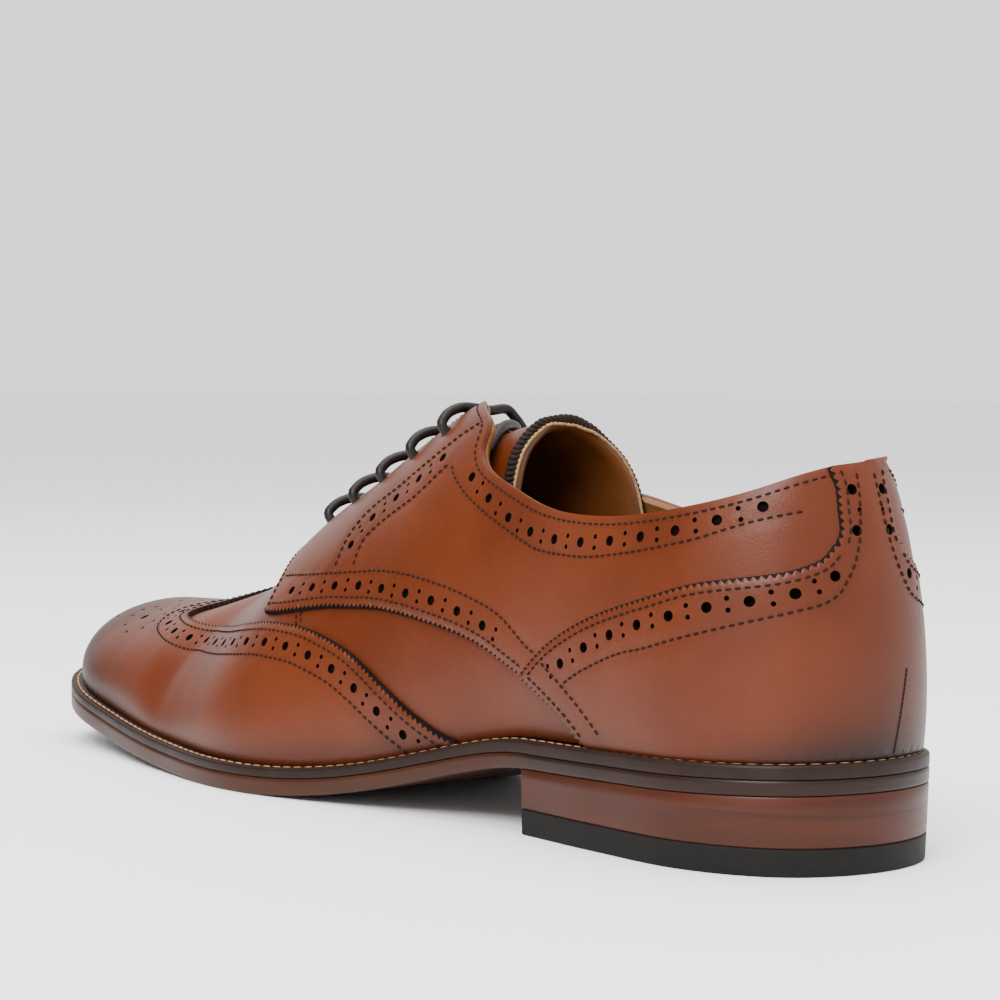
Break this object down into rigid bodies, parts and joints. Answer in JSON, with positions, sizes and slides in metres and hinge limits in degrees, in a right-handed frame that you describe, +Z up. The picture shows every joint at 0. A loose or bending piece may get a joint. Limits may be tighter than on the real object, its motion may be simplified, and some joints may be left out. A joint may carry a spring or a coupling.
{
  "type": "leather shoe",
  "caption": "Left leather lace-up derby with long wing tip, panelled brogue upper, open throat, tongue, welt and low stacked heel; hollow and open at the collar.",
  "frame": {"origin": "middle of the footprint, on the floor", "axes": "+X from heel to toe, +Y to the outer side of the left foot, +Z up"},
  "size_m": [0.305, 0.0994, 0.1008],
  "materials": {
    "sole_leather": "satin, waxed edge",
    "welt_leather": "satin, burnished",
    "stack_leather": "satin, polished stack",
    "lift_rubber": "matte",
    "sock_leather": "soft, matte",
    "upper_leather": "polished calf, burnished at toe and heel",
    "tongue_leather": "polished calf",
    "lace_cord": "waxed round cord"
  },
  "bodies": {
    "root": {"outsole": "sole_leather", "welt": "welt_leather", "heel_stack": "stack_leather", "top_lift": "lift_rubber", "insole": "sock_leather", "upper": "upper_leather", "wing_cap": "upper_leather", "quarter_outer": "upper_leather", "quarter_inner": "upper_leather", "heel_counter": "upper_leather", "tongue": "tongue_leather", "lace_bar_1": "lace_cord", "lace_bar_2": "lace_cord", "lace_bar_3": "lace_cord", "lace_bar_4": "lace_cord", "lace_bar_5": "lace_cord", "lace_end_1": "lace_cord", "lace_end_2": "lace_cord"}
  },
  "joints": []
}
